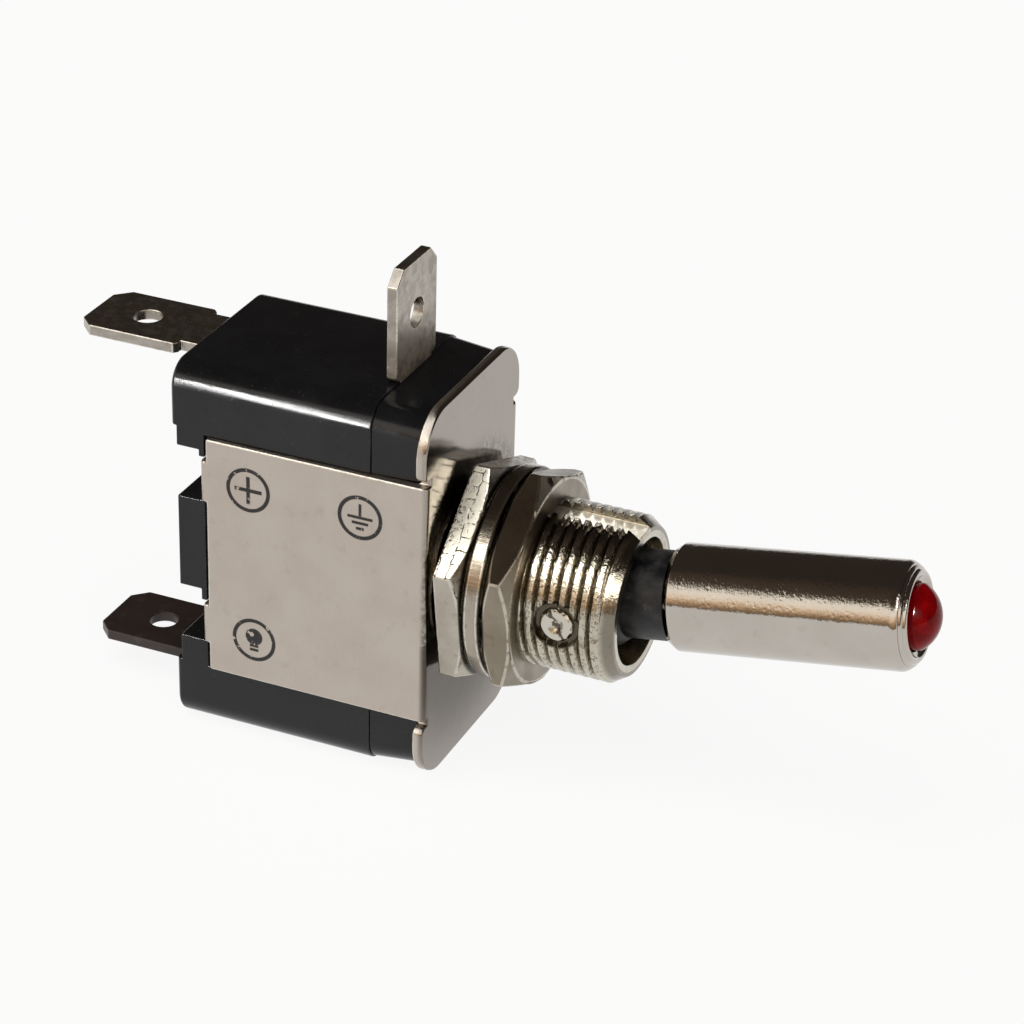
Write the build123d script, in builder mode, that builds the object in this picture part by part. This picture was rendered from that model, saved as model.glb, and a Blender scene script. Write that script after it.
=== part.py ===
from build123d import *
import os
from math import cos, radians, sin, sqrt, tan

# Illuminated toggle switch with a threaded panel bushing and three blade tabs.
# The origin is where the axis of the lever's pivot pin crosses the bushing axis.
# +X runs along the bushing towards the lever, +Z points the way the earth tab does.
# The lever is drawn tipped up, which is its first stable position. Lengths are in mm.

os.makedirs("parts", exist_ok=True)

# Clearances between pieces that fit together, and the cut past a face in a subtraction
running_gap = 0.05
seat_gap = 0.02
overshoot = 1.0

# Black mouldings
case_half_width = 7.2
case_half_height = 14.1
case_corner = 1.9
case_rear = -28.4
rear_chamfer = 0.2
seam = -13.2
block_drop = 0.4
block_rear = case_rear + block_drop
notch_floor = -26.3
upper_notch = (4.1, 8.0)
lower_notch = (-7.1, -3.0)
upper_step = 9.5
lower_step = -9.1
insulator_inset = 0.1
insulator_drop = 0.35
insulator_bore = 5.0
cavity_half_width = 4.6
cavity_half_height = 9.6
cavity_rear = -23.6

# Steel bracket: front plate with two flanges folded back and ears bent in behind
sheet = 0.8
plate_front = -8.8
plate_back = plate_front - sheet
plate_rim = 0.1
plate_half_height = case_half_height + plate_rim
nut_flats = 14.8
plate_margin = 0.4
plate_half_width = nut_flats / 2 + plate_margin
plate_corner = 3.1
flange_stand_off = 0.4
flange_outer = case_half_width + flange_stand_off
flange_inner = flange_outer - sheet
flange_half_height = 9.15
flange_rear = -25.55
flange_end_gap = 0.3
bend_radius = 0.5
relief_height = 0.5
relief_depth = 0.9
relief_round = 0.6
ear_spans = ((4.25, 7.4), (-7.0, -3.95))
ear_rear = -26.05
ear_reach = 5.4
ear_bend = 0.45

# Threaded bushing, pivot pin, nuts and washer
thread_radius = 5.95
covered_radius = 5.6
bore_radius = 4.5
mouth = 4.05
mouth_chamfer = 0.6
shank_radius = 5.3
staked_radius = 6.2
staked_depth = 0.5
edge_break = 0.2
keyway_half_width = 0.95
keyway_floor = 5.35
pin_radius = 1.25
pin_half_length = 5.75
dimple_radius = 0.66
dimple_depth = 0.35
crater_radius = 1.6
crater_depth = 0.55
inner_nut_turn = 20.5
outer_nut_turn = 23.0
nut_chamfer_angle = 30.0
nut_land_inset = 0.1
inner_nut_span = (-8.15, -6.2)
washer_span = (-6.2, -4.8)
outer_nut_span = (-4.8, -2.65)
washer_rim = 0.2
washer_radius = nut_flats / 2 + washer_rim

# Lever, measured along its own axis from the pivot
lever_tilt = 9.2
neck_radius = 3.12
hub_radius = 3.7
hub_back = -3.4
hub_front = 2.6
neck_start = 3.4
tail_radius = 2.3
tail_end = -16.0
stem_end = 20.0
sleeve_radius = 3.74
sleeve_start = 6.85
sleeve_end = 24.1
sleeve_mouth = 2.3
skirt_taper = 0.35
skirt_length = 0.5
shoulder_length = 1.1
lip_round = 0.3
lip_depth = 0.8
lens_radius = 2.65
lens_centre = 22.65
wire_space = 1.7
wire_space_start = 6.0
plunger_radius = 1.5
plunger_tip = -20.05
plunger_back = -13.4
plunger_travel = 1.2
spring_space_end = -8.2
coil_radius = 1.1
coil_wire = 0.22
coil_turns = 4
wire_corners = 4

# Lamp wiring inside the stem
wire_radius = 0.3
wire_offset = 0.95
wire_start = 6.6
resistor_offset = 0.75
resistor_radius = 0.85
resistor_span = (11.0, 14.6)

# Contact train
blade_thickness = 0.8
blade_half_width = 3.15
blade_length = 8.0
blade_hole = 1.05
blade_tip_corner = 1.05
blade_shoulder_corner = 0.3
neck_half_width = 2.5
power_blade_drop = 0.6
power_blade_top = case_half_height - power_blade_drop
load_blade_rise = 3.0
load_blade_top = load_blade_rise - case_half_height
earth_blade_foot = case_half_height + running_gap
power_blade_root = case_rear - 1.7
load_blade_root = case_rear - 1.1
knife_edge = -20.9
knife_half_height = 0.8
rocker_tilt = 6.0
rocker_half_width = 2.2
rocker_thickness = 0.9
rocker_upper_arm = 5.4
rocker_lower_arm = 7.7
ridge_height = 4.0
ridge_front = 1.4
ridge_width = 0.8
cup_half_height = 0.8
knife_notch = 0.6
cheek_inner = 2.4
cheek_thickness = 0.6
cheek_reach = 0.3
cheek_half_height = 1.0
cheek_foot = 1.8
load_strip_reach = 1.8
earth_tongue_length = 3.2
earth_tongue_half_width = 1.5
contact_inset = 1.5
contact_height = contact_inset - rocker_lower_arm
contact_thickness = 0.4
moving_contact_radius = 1.3
fixed_contact_radius = 1.4
rivet_radius = 0.7

strip_front = cavity_rear + blade_thickness
neck_span = (-neck_half_width, neck_half_width)
lever_direction = Vector(cos(radians(lever_tilt)), 0, sin(radians(lever_tilt)))
lever_axis = Axis((0, 0, 0), lever_direction)
lever_plane = Plane(origin=(0, 0, 0), x_dir=lever_direction, z_dir=(0, -1, 0))
lever_section = Plane(origin=(0, 0, 0), x_dir=(0, 1, 0), z_dir=lever_direction)
rocker_front = Vector(cos(radians(rocker_tilt)), 0, -sin(radians(rocker_tilt)))
rocker_plane = Plane(origin=(knife_edge, 0, 0), x_dir=rocker_front, z_dir=(0, -1, 0))
rocker_section = Plane(origin=(knife_edge, 0, 0), x_dir=(0, 1, 0), z_dir=rocker_front)


def span_box(x_span, y_span, z_span, mode=Mode.ADD):
    """Add or cut a box given by its limits along the three axes."""
    middle = [(low + high) / 2 for low, high in (x_span, y_span, z_span)]
    sides = [high - low for low, high in (x_span, y_span, z_span)]
    with Locations(tuple(middle)):
        Box(*sides, mode=mode)


def both_sides(x_span, y_span, z_span, mode=Mode.ADD):
    """A box on each side of the middle plane of the switch."""
    span_box(x_span, y_span, z_span, mode)
    span_box(x_span, (-y_span[1], -y_span[0]), z_span, mode)


def ring_profile(points):
    """A closed outline in the X-radius half plane, turned about the bushing axis."""
    with BuildSketch(Plane.XZ) as outline:
        with BuildLine():
            Polyline(*points, close=True)
        make_face()
    revolve(outline.sketch, axis=Axis.X)


def blade(outline_plane):
    """A flat blade tab: x is along the tab from its shoulder, y across it."""
    tip_start = blade_length - blade_tip_corner
    tip_half_width = blade_half_width - blade_tip_corner
    shoulder_half_width = blade_half_width - blade_shoulder_corner
    with BuildSketch(outline_plane) as outline:
        with BuildLine():
            Polyline(
                (0, -shoulder_half_width),
                (blade_shoulder_corner, -blade_half_width),
                (tip_start, -blade_half_width),
                (blade_length, -tip_half_width),
                (blade_length, tip_half_width),
                (tip_start, blade_half_width),
                (blade_shoulder_corner, blade_half_width),
                (0, shoulder_half_width),
                close=True,
            )
        make_face()
        with Locations((blade_length / 2, 0)):
            Circle(blade_hole, mode=Mode.SUBTRACT)
    extrude(outline.sketch, amount=blade_thickness)


def hex_nut(span, turn, chamfer_back):
    """A hexagon nut on the bushing axis, chamfered in front and perhaps behind."""
    corner_radius = nut_flats / sqrt(3)
    land_radius = nut_flats / 2 - nut_land_inset
    drop = (corner_radius - land_radius) * tan(radians(nut_chamfer_angle))
    back, front = span
    with BuildSketch(Plane.YZ.offset(back)) as outline:
        RegularPolygon(radius=corner_radius, side_count=6, rotation=-turn)
        Circle(covered_radius + running_gap, mode=Mode.SUBTRACT)
    extrude(outline.sketch, amount=front - back)
    faces = [(front, -1)]
    if chamfer_back:
        faces.append((back, 1))
    for face_x, inward in faces:
        with BuildSketch(Plane.XZ) as corner_cut:
            with BuildLine():
                Polyline(
                    (face_x, land_radius),
                    (face_x + inward * drop, corner_radius),
                    (face_x + inward * drop, corner_radius + overshoot),
                    (face_x - inward * overshoot, corner_radius + overshoot),
                    (face_x - inward * overshoot, land_radius),
                    close=True,
                )
            make_face()
        revolve(corner_cut.sketch, axis=Axis.X, mode=Mode.SUBTRACT)


def lever_solid(points, mode=Mode.ADD):
    """An outline of distance and radius, turned about the lever's axis."""
    with BuildSketch(lever_plane) as outline:
        with BuildLine():
            Polyline(*points, close=True)
        make_face()
    revolve(outline.sketch, axis=lever_axis, mode=mode)


# Bracket
with BuildPart() as bracket:
    with BuildSketch(Plane.XY.offset(-flange_half_height)):
        with Locations(((flange_rear + plate_front) / 2, 0)):
            Rectangle(plate_front - flange_rear, 2 * flange_outer)
        with Locations(((flange_rear - overshoot + plate_back) / 2, 0)):
            Rectangle(plate_back - flange_rear + overshoot, 2 * flange_inner, mode=Mode.SUBTRACT)
    extrude(amount=2 * flange_half_height)
    bend_edges = bracket.edges().filter_by(Axis.Z).group_by(Axis.X)[-1]
    fillet(bend_edges, radius=bend_radius)
    with BuildSketch(Plane.YZ.offset(plate_back)):
        RectangleRounded(2 * plate_half_width, 2 * plate_half_height, plate_corner)
        Rectangle(3 * plate_half_width, 2 * flange_half_height, mode=Mode.SUBTRACT)
        for side in (-1, 1):
            for end in (-1, 1):
                relief_middle = end * (flange_half_height + relief_height / 2)
                with Locations((side * plate_half_width, relief_middle)):
                    Rectangle(2 * relief_depth, relief_height, mode=Mode.SUBTRACT)
    extrude(amount=sheet)
    relief_end = flange_half_height + relief_height
    relief_corners = [
        edge
        for edge in bracket.edges().filter_by(Axis.X)
        if abs(abs(edge.center().Y) - plate_half_width) < seat_gap
        and abs(abs(edge.center().Z) - relief_end) < seat_gap
    ]
    fillet(relief_corners, radius=relief_round)
    for low, high in ear_spans:
        both_sides((ear_rear, ear_rear + sheet), (ear_reach, flange_outer), (low, high))
    ear_edges = bracket.edges().filter_by(Axis.Z).group_by(Axis.X)[0]
    fillet(ear_edges.group_by(lambda edge: abs(edge.center().Y))[-1], radius=ear_bend)
    with Locations((plate_front - sheet / 2, 0, 0)):
        Cylinder(
            shank_radius + seat_gap,
            2 * sheet,
            rotation=(0, 90, 0),
            mode=Mode.SUBTRACT,
        )
bracket.part.label = "bracket"
export_step(bracket.part, "parts/bracket.step")

# Rear housing: a cup for the contacts, closed at the back and ribbed into three blocks
recess_half_height = flange_half_height + running_gap
across_case = (-case_half_width - overshoot, case_half_width + overshoot)
with BuildPart() as housing:
    with BuildSketch(Plane.YZ.offset(case_rear)):
        RectangleRounded(2 * case_half_width, 2 * case_half_height, case_corner)
    extrude(amount=seam - case_rear)
    span_box(
        (case_rear - overshoot, block_rear), across_case, (lower_step, upper_step), Mode.SUBTRACT
    )
    for low, high in (upper_notch, lower_notch):
        span_box((case_rear - overshoot, notch_floor), across_case, (low, high), Mode.SUBTRACT)
    both_sides(
        (flange_rear - flange_end_gap, seam + overshoot),
        (flange_inner, case_half_width + overshoot),
        (-recess_half_height, recess_half_height),
        Mode.SUBTRACT,
    )
    for low, high in ear_spans:
        both_sides(
            (notch_floor - overshoot, ear_rear + sheet),
            (ear_reach - running_gap, case_half_width + overshoot),
            (low - 2 * running_gap, high + 2 * running_gap),
            Mode.SUBTRACT,
        )
    span_box(
        (cavity_rear, seam + overshoot),
        (-cavity_half_width, cavity_half_width),
        (-cavity_half_height, cavity_half_height),
        Mode.SUBTRACT,
    )
    for top in (power_blade_top, load_blade_top):
        blade_slot = (top - blade_thickness, top)
        span_box((case_rear - overshoot, strip_front), neck_span, blade_slot, Mode.SUBTRACT)
    strip_slot = (load_blade_top - blade_thickness, power_blade_top)
    span_box((cavity_rear, strip_front), neck_span, strip_slot, Mode.SUBTRACT)
    span_box(
        (seam - blade_thickness, seam + overshoot),
        neck_span,
        (cavity_half_height - overshoot, case_half_height + overshoot),
        Mode.SUBTRACT,
    )
    rear_edges = housing.edges().group_by(Axis.X)[0]
    chamfer(rear_edges.group_by(lambda edge: abs(edge.center().Z))[-1], length=rear_chamfer)
housing.part.label = "housing"
export_step(housing.part, "parts/housing.step")

# Front insulator between the housing and the bracket plate
insulator_middle = (seam + plate_back) / 2
with BuildPart() as front_insulator:
    for end_x, inset in ((seam, insulator_inset), (plate_back, insulator_drop)):
        with BuildSketch(Plane.YZ.offset(end_x)):
            RectangleRounded(
                2 * (case_half_width - inset), 2 * (case_half_height - inset), case_corner
            )
    loft()
    both_sides(
        (seam - overshoot, plate_back + overshoot),
        (flange_inner, case_half_width + overshoot),
        (-recess_half_height, recess_half_height),
        Mode.SUBTRACT,
    )
    with Locations((insulator_middle, 0, 0)):
        Cylinder(
            insulator_bore,
            2 * (plate_back - seam),
            rotation=(0, 90, 0),
            mode=Mode.SUBTRACT,
        )
    with Locations((plate_back, 0, 0)):
        Cylinder(
            staked_radius + 2 * running_gap,
            2 * (staked_depth + running_gap),
            rotation=(0, 90, 0),
            mode=Mode.SUBTRACT,
        )
front_insulator.part.label = "front_insulator"
export_step(front_insulator.part, "parts/front_insulator.step")

# Threaded bushing: shank staked behind the plate, thread, keyway, pin hole and mouth
staked_back = plate_back - staked_depth
with BuildPart() as bushing:
    ring_profile(
        (
            (staked_back, bore_radius),
            (staked_back, staked_radius),
            (plate_back, staked_radius),
            (plate_back, shank_radius),
            (plate_front, shank_radius),
            (plate_front, covered_radius),
            (outer_nut_span[1], covered_radius),
            (outer_nut_span[1], thread_radius),
            (mouth - mouth_chamfer, thread_radius),
            (mouth, thread_radius - mouth_chamfer),
            (mouth, bore_radius + edge_break),
            (mouth - edge_break, bore_radius),
        )
    )
    span_box(
        (plate_front, mouth + overshoot),
        (-keyway_half_width, keyway_half_width),
        (keyway_floor, thread_radius + overshoot),
        Mode.SUBTRACT,
    )
    Cylinder(
        pin_radius + seat_gap,
        4 * thread_radius,
        rotation=(90, 0, 0),
        mode=Mode.SUBTRACT,
    )
    for side in (-1, 1):
        with BuildSketch(Plane.XZ.offset(-side * (thread_radius - crater_depth))):
            Circle(crater_radius)
        extrude(amount=-side * (crater_depth + overshoot), mode=Mode.SUBTRACT)
bushing.part.label = "bushing"
export_step(bushing.part, "parts/bushing.step")

# Pivot pin with a punched dimple in each end
with BuildPart() as pivot_pin:
    Cylinder(pin_radius, 2 * pin_half_length, rotation=(90, 0, 0))
    chamfer(pivot_pin.edges().filter_by(GeomType.CIRCLE), length=edge_break)
    for side in (-1, 1):
        with Locations((0, side * (pin_half_length - dimple_depth / 2), 0)):
            Cone(
                0,
                dimple_radius,
                dimple_depth,
                rotation=(-side * 90, 0, 0),
                mode=Mode.SUBTRACT,
            )
pivot_pin.part.label = "pivot_pin"
export_step(pivot_pin.part, "parts/pivot_pin.step")

# Mounting nuts and the round washer between them
with BuildPart() as inner_nut:
    hex_nut(inner_nut_span, inner_nut_turn, False)
inner_nut.part.label = "inner_nut"
export_step(inner_nut.part, "parts/inner_nut.step")

with BuildPart() as outer_nut:
    hex_nut(outer_nut_span, outer_nut_turn, True)
outer_nut.part.label = "outer_nut"
export_step(outer_nut.part, "parts/outer_nut.step")

with BuildPart() as dress_washer:
    ring_profile(
        (
            (washer_span[0], covered_radius + running_gap),
            (washer_span[0], washer_radius - edge_break),
            (washer_span[0] + edge_break, washer_radius),
            (washer_span[1] - edge_break, washer_radius),
            (washer_span[1], washer_radius - edge_break),
            (washer_span[1], covered_radius + running_gap),
        )
    )
dress_washer.part.label = "dress_washer"
export_step(dress_washer.part, "parts/dress_washer.step")

# Lever stem: tail with the plunger bore, hub on the pin, neck and hollow front
with BuildPart() as lever_stem:
    lever_solid(
        (
            (tail_end, 0),
            (tail_end, tail_radius - edge_break),
            (tail_end + edge_break, tail_radius),
            (hub_back - (hub_radius - tail_radius), tail_radius),
            (hub_back, hub_radius),
            (hub_front, hub_radius),
            (neck_start, neck_radius),
            (stem_end, neck_radius),
            (stem_end, wire_space),
            (wire_space_start, wire_space),
            (wire_space_start - wire_space / 3, 0),
        )
    )
    lever_solid(
        (
            (tail_end - overshoot, 0),
            (tail_end - overshoot, plunger_radius + running_gap),
            (spring_space_end, plunger_radius + running_gap),
            (spring_space_end, 0),
        ),
        Mode.SUBTRACT,
    )
    Cylinder(
        pin_radius + running_gap,
        4 * hub_radius,
        rotation=(90, 0, 0),
        mode=Mode.SUBTRACT,
    )
lever_stem.part.label = "lever_stem"
export_step(lever_stem.part, "parts/lever_stem.step")

# Plated sleeve with a rolled lip round the lamp
lip_back = sleeve_end - lip_depth
shoulder_back = sleeve_end - shoulder_length
with BuildPart() as lever_sleeve:
    with BuildSketch(lever_plane):
        with BuildLine():
            Polyline(
                (sleeve_end - lip_round, sleeve_mouth),
                (lip_back, sleeve_mouth),
                (lip_back, neck_radius + seat_gap),
                (sleeve_start, neck_radius + seat_gap),
                (sleeve_start, sleeve_radius - skirt_taper),
                (sleeve_start + skirt_length, sleeve_radius),
                (shoulder_back, sleeve_radius),
            )
            ThreePointArc(
                (shoulder_back, sleeve_radius),
                (sleeve_end - lip_round, sleeve_radius - lip_round),
                (sleeve_end, sleeve_mouth + lip_round),
            )
            Line((sleeve_end, sleeve_mouth + lip_round), (sleeve_end - lip_round, sleeve_mouth))
        make_face()
    revolve(axis=lever_axis)
lever_sleeve.part.label = "lever_sleeve"
export_step(lever_sleeve.part, "parts/lever_sleeve.step")

# Lamp: domed lens with a collar behind the sleeve's lip
collar_radius = neck_radius - 2 * running_gap
lens_body = sleeve_mouth - running_gap
dome_foot = lens_centre + sqrt(lens_radius**2 - lens_body**2)
lens_tip = lens_centre + lens_radius
with BuildPart() as lamp_lens:
    with BuildSketch(lever_plane):
        with BuildLine():
            Polyline(
                (dome_foot, lens_body),
                (lip_back, lens_body),
                (lip_back, collar_radius),
                (stem_end, collar_radius),
                (stem_end, 0),
                (lens_tip, 0),
            )
            RadiusArc((lens_tip, 0), (dome_foot, lens_body), -lens_radius)
        make_face()
    revolve(axis=lever_axis)
lamp_lens.part.label = "lamp_lens"
export_step(lamp_lens.part, "parts/lamp_lens.step")

# Lamp wires and the resistor inside the stem
with BuildPart() as lamp_lead_long:
    with BuildSketch(lever_section.offset(wire_start)):
        with Locations((0, -wire_offset)):
            Circle(wire_radius)
    extrude(amount=stem_end - wire_start)
lamp_lead_long.part.label = "lamp_lead_long"
export_step(lamp_lead_long.part, "parts/lamp_lead_long.step")

with BuildPart() as lamp_lead_short:
    with BuildSketch(lever_section.offset(resistor_span[1])):
        with Locations((0, resistor_offset)):
            Circle(wire_radius)
    extrude(amount=stem_end - resistor_span[1])
lamp_lead_short.part.label = "lamp_lead_short"
export_step(lamp_lead_short.part, "parts/lamp_lead_short.step")

with BuildPart() as resistor:
    with BuildSketch(lever_section.offset(resistor_span[0])):
        with Locations((0, resistor_offset)):
            Circle(resistor_radius)
    extrude(amount=resistor_span[1] - resistor_span[0])
    chamfer(resistor.edges().filter_by(GeomType.CIRCLE), length=edge_break)
    with BuildSketch(lever_section.offset(wire_start)):
        with Locations((0, resistor_offset)):
            Circle(wire_radius)
    extrude(amount=resistor_span[0] - wire_start)
resistor.part.label = "resistor"
export_step(resistor.part, "parts/resistor.step")

# Plunger with a round nose, and its coil spring drawn at its shortest length
nose_centre = plunger_tip + plunger_radius
with BuildPart() as plunger:
    with BuildSketch(lever_plane):
        with BuildLine():
            Polyline(
                (nose_centre, plunger_radius),
                (plunger_back, plunger_radius),
                (plunger_back, 0),
                (plunger_tip, 0),
            )
            RadiusArc((plunger_tip, 0), (nose_centre, plunger_radius), plunger_radius)
        make_face()
    revolve(axis=lever_axis)
plunger.part.label = "plunger"
export_step(plunger.part, "parts/plunger.step")

coil_start = plunger_back + plunger_travel + coil_wire + running_gap
coil_height = spring_space_end - coil_wire - seat_gap - coil_start
with BuildPart() as plunger_spring:
    with BuildLine():
        coil_path = Helix(
            pitch=coil_height / coil_turns,
            height=coil_height,
            radius=coil_radius,
            center=lever_direction * coil_start,
            direction=lever_direction,
        )
    with BuildSketch(Plane(origin=coil_path @ 0, z_dir=coil_path % 0)):
        RegularPolygon(radius=coil_wire, side_count=wire_corners)
    sweep(path=coil_path, is_frenet=True)
plunger_spring.part.label = "plunger_spring"
export_step(plunger_spring.part, "parts/plunger_spring.step")

# Rocking contact: two arms on a knife edge, cupped in front for the plunger
arm_back = -0.35
arm_front = arm_back + rocker_thickness
cup_floor = arm_front + 0.1
cup_slope = 3.3
with BuildPart() as rocker:
    with BuildSketch(rocker_plane):
        with BuildLine():
            Polyline(
                (arm_back, -rocker_lower_arm),
                (arm_front, -rocker_lower_arm),
                (arm_front, -ridge_height - ridge_width / 2),
                (ridge_front, -ridge_height),
                (ridge_front - 0.15, -cup_slope),
                (cup_floor, -cup_half_height),
                (cup_floor, cup_half_height),
                (ridge_front - 0.15, cup_slope),
                (ridge_front, ridge_height),
                (arm_front, ridge_height + ridge_width / 2),
                (arm_front, rocker_upper_arm),
                (arm_back, rocker_upper_arm),
                (arm_back, knife_notch),
                (0.05, 0),
                (arm_back, -knife_notch),
                close=True,
            )
        make_face()
    extrude(amount=rocker_half_width, both=True)
    with BuildSketch(rocker_section):
        with Locations((0, -contact_height)):
            Circle(rivet_radius + seat_gap)
    extrude(amount=2 * rocker_thickness, both=True, mode=Mode.SUBTRACT)
rocker.part.label = "rocker"
export_step(rocker.part, "parts/rocker.step")

with BuildPart() as moving_contact:
    with BuildSketch(rocker_section.offset(arm_back - contact_thickness)):
        with Locations((0, -contact_height)):
            Circle(moving_contact_radius)
    extrude(amount=contact_thickness)
    with BuildSketch(rocker_section.offset(arm_back)):
        with Locations((0, -contact_height)):
            Circle(rivet_radius)
    extrude(amount=rocker_thickness)
moving_contact.part.label = "moving_contact"
export_step(moving_contact.part, "parts/moving_contact.step")

# Power terminal: rear blade, strip down the back of the cavity, knife edge and cheeks
with BuildPart() as power_terminal:
    blade(
        Plane(
            origin=(power_blade_root, 0, power_blade_top),
            x_dir=(-1, 0, 0),
            z_dir=(0, 0, -1),
        )
    )
    power_slot = (power_blade_top - blade_thickness, power_blade_top)
    span_box((power_blade_root, strip_front), neck_span, power_slot)
    span_box((cavity_rear, strip_front), neck_span, (-cheek_foot, power_blade_top))
    with BuildSketch(Plane.XZ):
        with BuildLine():
            Polyline(
                (strip_front, knife_half_height),
                (knife_edge - seat_gap, 0),
                (strip_front, -knife_half_height),
                close=True,
            )
        make_face()
    extrude(amount=neck_half_width, both=True)
    both_sides(
        (cavity_rear, knife_edge + cheek_reach),
        (cheek_inner, cheek_inner + cheek_thickness),
        (-cheek_half_height, cheek_half_height),
    )
power_terminal.part.label = "power_terminal"
export_step(power_terminal.part, "parts/power_terminal.step")

# Load terminal with the hole for the fixed contact
load_slot = (load_blade_top - blade_thickness, load_blade_top)
with BuildPart() as load_terminal:
    blade(
        Plane(
            origin=(load_blade_root, 0, load_blade_top),
            x_dir=(-1, 0, 0),
            z_dir=(0, 0, -1),
        )
    )
    span_box((load_blade_root, strip_front), neck_span, load_slot)
    load_strip = (load_slot[0], contact_height + load_strip_reach)
    span_box((cavity_rear, strip_front), neck_span, load_strip)
    with Locations((strip_front - blade_thickness / 2, 0, contact_height)):
        Cylinder(
            rivet_radius + seat_gap,
            2 * blade_thickness,
            rotation=(0, 90, 0),
            mode=Mode.SUBTRACT,
        )
load_terminal.part.label = "load_terminal"
export_step(load_terminal.part, "parts/load_terminal.step")

with BuildPart() as fixed_contact:
    with BuildSketch(Plane.YZ.offset(cavity_rear)):
        with Locations((0, contact_height)):
            Circle(rivet_radius)
    extrude(amount=blade_thickness)
    with BuildSketch(Plane.YZ.offset(strip_front)):
        with Locations((0, contact_height)):
            Circle(fixed_contact_radius)
    extrude(amount=contact_thickness)
fixed_contact.part.label = "fixed_contact"
export_step(fixed_contact.part, "parts/fixed_contact.step")

# Earth terminal: upright blade in the joint between housing and front insulator
earth_slot = (seam - blade_thickness, seam)
earth_tongue_foot = cavity_half_height - earth_tongue_length
with BuildPart() as earth_terminal:
    blade(
        Plane(
            origin=(seam, 0, earth_blade_foot),
            x_dir=(0, 0, 1),
            z_dir=(-1, 0, 0),
        )
    )
    span_box(earth_slot, neck_span, (cavity_half_height - overshoot, earth_blade_foot))
    tongue_span = (-earth_tongue_half_width, earth_tongue_half_width)
    span_box(earth_slot, tongue_span, (earth_tongue_foot, cavity_half_height))
earth_terminal.part.label = "earth_terminal"
export_step(earth_terminal.part, "parts/earth_terminal.step")
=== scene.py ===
import bmesh
import bpy
import math
from mathutils import Matrix, Vector


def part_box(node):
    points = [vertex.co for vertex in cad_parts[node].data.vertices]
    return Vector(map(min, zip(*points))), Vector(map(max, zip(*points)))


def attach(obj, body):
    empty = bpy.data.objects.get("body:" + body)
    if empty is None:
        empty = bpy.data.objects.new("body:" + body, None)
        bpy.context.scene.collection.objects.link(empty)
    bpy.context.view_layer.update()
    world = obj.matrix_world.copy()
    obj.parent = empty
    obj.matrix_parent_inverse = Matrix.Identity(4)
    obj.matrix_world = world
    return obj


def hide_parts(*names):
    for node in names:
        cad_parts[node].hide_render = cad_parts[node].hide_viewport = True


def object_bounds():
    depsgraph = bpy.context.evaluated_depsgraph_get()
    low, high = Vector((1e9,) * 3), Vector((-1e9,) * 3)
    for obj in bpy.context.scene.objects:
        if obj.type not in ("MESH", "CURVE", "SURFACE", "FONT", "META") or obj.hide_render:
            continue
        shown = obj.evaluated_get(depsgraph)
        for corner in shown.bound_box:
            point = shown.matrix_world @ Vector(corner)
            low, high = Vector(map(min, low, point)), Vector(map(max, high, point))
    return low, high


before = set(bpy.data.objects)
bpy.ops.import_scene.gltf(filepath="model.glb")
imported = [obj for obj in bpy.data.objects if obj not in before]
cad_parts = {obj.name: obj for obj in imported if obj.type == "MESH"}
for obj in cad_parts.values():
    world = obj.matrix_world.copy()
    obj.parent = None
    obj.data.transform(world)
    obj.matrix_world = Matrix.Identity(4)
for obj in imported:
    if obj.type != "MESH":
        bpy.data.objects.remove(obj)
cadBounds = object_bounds()
mm = 0.001
leverTilt = math.radians(9.2)  # how far the lever is tipped up at rest
leverAxis = Vector((math.cos(leverTilt), 0, math.sin(leverTilt)))


# Shader maths: a socket that can stand in sums
class Wire:
    def __init__(self, recipe, socket):
        self.recipe = recipe
        self.socket = socket

    def __add__(self, other):
        return self.recipe.maths("ADD", self, other)

    def __sub__(self, other):
        return self.recipe.maths("SUBTRACT", self, other)

    def __rsub__(self, other):
        return self.recipe.maths("SUBTRACT", other, self)

    def __mul__(self, other):
        return self.recipe.maths("MULTIPLY", self, other)

    def __truediv__(self, other):
        return self.recipe.maths("DIVIDE", self, other)

    def __rtruediv__(self, other):
        return self.recipe.maths("DIVIDE", other, self)

    def __pow__(self, other):
        return self.recipe.maths("POWER", self, other)

    def __neg__(self):
        return self.recipe.maths("MULTIPLY", self, -1.0)

    def __lt__(self, other):
        return self.recipe.maths("LESS_THAN", self, other)

    def __gt__(self, other):
        return self.recipe.maths("GREATER_THAN", self, other)

    __radd__ = __add__
    __rmul__ = __mul__


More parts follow.
